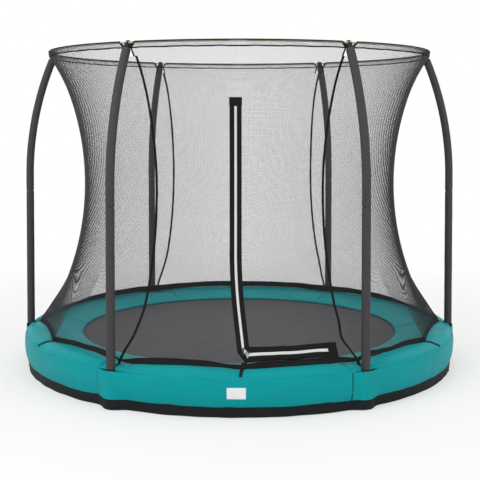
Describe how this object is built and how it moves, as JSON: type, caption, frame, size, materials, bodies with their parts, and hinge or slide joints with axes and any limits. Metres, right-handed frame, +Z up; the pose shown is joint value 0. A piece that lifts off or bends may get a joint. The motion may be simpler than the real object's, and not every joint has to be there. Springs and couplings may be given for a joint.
{
  "type": "garden trampoline",
  "caption": "Low round garden trampoline with a teal edge pad, a waisted safety net on curved padded poles and an L-shaped zip door in the net's front.",
  "frame": {"origin": "on the ground under the middle of the mat", "axes": "+Z up; the zip door faces -Y; a pole stands on +X and every 60 degrees from it"},
  "size_m": [2.636, 2.6042, 1.8805],
  "materials": {
    "galvanised_steel": "galvanised tube, dull grey",
    "zinc_steel": "bright zinc plated",
    "spring_steel": "zinc plated spring wire",
    "black_plastic": "moulded, fine grain",
    "ivory_plastic": "moulded",
    "grey_foam": "foam tube in a smooth matt skin",
    "fibreglass": "drawn fibreglass rod",
    "net": "fine open net of dark grey thread",
    "teal_cover": "coated cloth over foam, slight sheen",
    "black_webbing": "woven tape",
    "black_fabric": "coated cloth, matt",
    "white_patch": "smooth coated cloth, left plain",
    "mat_fabric": "tight flat weave",
    "zip_nylon": "nylon coil teeth",
    "green_slider": "cast slider, satin paint",
    "green_pull": "moulded tab",
    "pale_pull": "moulded tab"
  },
  "bodies": {
    "base": {"ring_tube_1": "galvanised_steel", "ring_tube_2": "galvanised_steel", "ring_tube_3": "galvanised_steel", "ring_tube_4": "galvanised_steel", "ring_tube_5": "galvanised_steel", "ring_tube_6": "galvanised_steel", "leg_1": "galvanised_steel", "leg_2": "galvanised_steel", "leg_3": "galvanised_steel", "leg_4": "galvanised_steel", "leg_5": "galvanised_steel", "leg_6": "galvanised_steel", "upper_pole_1": "galvanised_steel", "upper_pole_2": "galvanised_steel", "upper_pole_3": "galvanised_steel", "upper_pole_4": "galvanised_steel", "upper_pole_5": "galvanised_steel", "upper_pole_6": "galvanised_steel", "net_panel_1": "net", "net_panel_2": "net", "net_panel_3": "net", "net_panel_4": "net", "net_panel_5": "net", "net_panel_6": "net", "pad_1": "teal_cover", "pad_2": "teal_cover", "pad_3": "teal_cover", "pad_4": "teal_cover", "pad_5": "teal_cover", "pad_6": "teal_cover", "foot_caps": "black_plastic", "lower_poles": "galvanised_steel", "pole_sleeves": "grey_foam", "pole_clamps": "galvanised_steel", "clamp_bolts": "zinc_steel", "pole_caps": "black_plastic", "cap_screws": "ivory_plastic", "net_rods": "fibreglass", "rod_ferrules": "zinc_steel", "net_tunnel": "net", "seam_tapes": "black_webbing", "net_hem": "black_webbing", "tie_straps": "black_webbing", "pad_drop": "teal_cover", "ground_skirt": "black_fabric", "blank_patch": "white_patch", "springs": "spring_steel", "zip_webbing": "black_webbing", "zip_teeth": "zip_nylon"},
    "mat_body": {"mat": "mat_fabric", "mat_hem": "black_webbing", "mat_links": "zinc_steel"},
    "door": {"door_net": "net", "door_webbing": "black_webbing", "door_teeth": "zip_nylon"},
    "slider_up_body": {"slider_up": "green_slider"},
    "slider_side_body": {"slider_side": "green_slider"},
    "pull_up_body": {"pull_up": "green_pull"},
    "pull_side_body": {"pull_side": "pale_pull"}
  },
  "joints": [
    {"name": "mat_bounce", "type": "slide", "parent": "base", "child": "mat_body", "axis": [0, 0, 1], "range_m": [-0.14, 0], "stiffness_N_per_m": 5000, "springref_m": 0.02, "deforming": ["springs"]},
    {"name": "door_fold", "type": "hinge", "parent": "base", "child": "door", "pos_m": [-0.0144, -1.00692, 1.524], "axis": [-0.349, 0.0501, 0.9358], "range_deg": [0, 110]},
    {"name": "slider_up_run", "type": "hinge", "parent": "base", "child": "slider_up_body", "pos_m": [0, -2.543, 1.092], "axis": [0.9995, 0, 0.0332], "range_deg": [0, 45.2]},
    {"name": "slider_side_run", "type": "hinge", "parent": "base", "child": "slider_side_body", "pos_m": [0, 0, 0.293], "axis": [0, 0, 1], "range_deg": [0, 20.6]},
    {"name": "pull_up_swing", "type": "hinge", "parent": "slider_up_body", "child": "pull_up_body", "pos_m": [0.02578, -1.15754, 0.31496], "axis": [-0.9995, 0, -0.0332], "range_deg": [0, 150]},
    {"name": "pull_side_swing", "type": "hinge", "parent": "slider_side_body", "child": "pull_side_body", "pos_m": [0.04657, -1.16564, 0.29864], "axis": [-0.9992, -0.0399, 0], "range_deg": [0, 150]}
  ]
}
